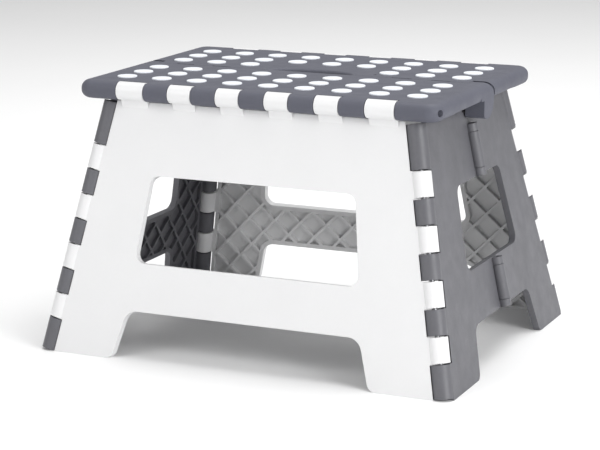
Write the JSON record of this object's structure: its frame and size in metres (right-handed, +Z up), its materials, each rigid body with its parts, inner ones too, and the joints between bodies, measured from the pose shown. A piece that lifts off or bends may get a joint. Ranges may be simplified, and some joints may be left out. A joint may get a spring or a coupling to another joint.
{
  "type": "step stool",
  "caption": "Low folding step stool: a hinged two-part grey top with raised white grip dots and a hand opening, white front and rear legs, and grey sides that fold inward.",
  "frame": {"origin": "on the floor, below the middle of the stool", "axes": "+X to the right seen from the front, +Y to the rear, +Z up"},
  "size_m": [0.3578, 0.2846, 0.22],
  "materials": {
    "white_plastic": "satin moulded polypropylene",
    "grey_top_plastic": "satin moulded polypropylene",
    "grey_side_plastic": "fine grained moulded polypropylene",
    "grip_rubber": "soft matt grip dots",
    "steel_pin": "drawn wire"
  },
  "bodies": {
    "front_leg": {"front_leg_panel": "white_plastic", "front_top_pin": "steel_pin", "right_front_corner_pin": "steel_pin", "left_front_corner_pin": "steel_pin"},
    "right_front_side": {"right_front_side_panel": "grey_side_plastic", "right_lower_fold_pin": "steel_pin", "right_upper_fold_pin": "steel_pin"},
    "right_rear_side": {"right_rear_side_panel": "grey_side_plastic"},
    "rear_leg": {"rear_leg_panel": "white_plastic", "rear_top_pin": "steel_pin", "right_rear_corner_pin": "steel_pin"},
    "left_front_side": {"left_front_side_panel": "grey_side_plastic", "left_lower_fold_pin": "steel_pin", "left_upper_fold_pin": "steel_pin"},
    "left_rear_side": {"left_rear_side_panel": "grey_side_plastic", "left_rear_corner_pin": "steel_pin"},
    "front_top": {"front_top_shell": "grey_top_plastic", "front_grip_dots": "grip_rubber", "right_centre_pin": "steel_pin", "left_centre_pin": "steel_pin"},
    "rear_top": {"rear_top_shell": "grey_top_plastic", "hand_opening_rim": "grey_top_plastic", "rear_grip_dots": "grip_rubber"}
  },
  "joints": [
    {"name": "right_front_corner", "type": "hinge", "parent": "front_leg", "child": "right_front_side", "pos_m": [0.15045, -0.114, 0.1], "axis": [-0.1927, 0.1971, 0.9613], "range_deg": [0, 87.7]},
    {"name": "right_fold", "type": "hinge", "parent": "right_front_side", "child": "right_rear_side", "pos_m": [0.15995, 0, 0.1], "axis": [0.2126, 0, -0.9771], "range_deg": [0, 170]},
    {"name": "right_rear_corner", "type": "hinge", "parent": "right_rear_side", "child": "rear_leg", "pos_m": [0.15045, 0.114, 0.1], "axis": [-0.1927, -0.1971, 0.9613], "range_deg": [0, 87.7]},
    {"name": "left_front_corner", "type": "hinge", "parent": "front_leg", "child": "left_front_side", "pos_m": [-0.15045, -0.114, 0.1], "axis": [-0.1927, -0.1971, -0.9613], "range_deg": [0, 87.7]},
    {"name": "left_fold", "type": "hinge", "parent": "left_front_side", "child": "left_rear_side", "pos_m": [-0.15995, 0, 0.1], "axis": [-0.2126, 0, -0.9771], "range_deg": [-170.5, 0]},
    {"name": "front_top_hinge", "type": "hinge", "parent": "front_leg", "child": "front_top", "pos_m": [0, -0.104, 0.2118], "axis": [1, 0, 0], "range_deg": [0, 70.5]},
    {"name": "rear_top_hinge", "type": "hinge", "parent": "rear_leg", "child": "rear_top", "pos_m": [0, 0.104, 0.2118], "axis": [1, 0, 0], "range_deg": [-70.5, 0]}
  ],
  "couplings": [
    {"joint": "right_front_corner", "follows": "right_fold", "ratio": 0.513},
    {"joint": "right_rear_corner", "follows": "right_fold", "ratio": 0.513},
    {"joint": "left_front_corner", "follows": "right_fold", "ratio": 0.513},
    {"joint": "left_fold", "follows": "right_fold", "ratio": -1},
    {"joint": "front_top_hinge", "follows": "right_fold", "ratio": 0.412},
    {"joint": "rear_top_hinge", "follows": "right_fold", "ratio": -0.412}
  ]
}
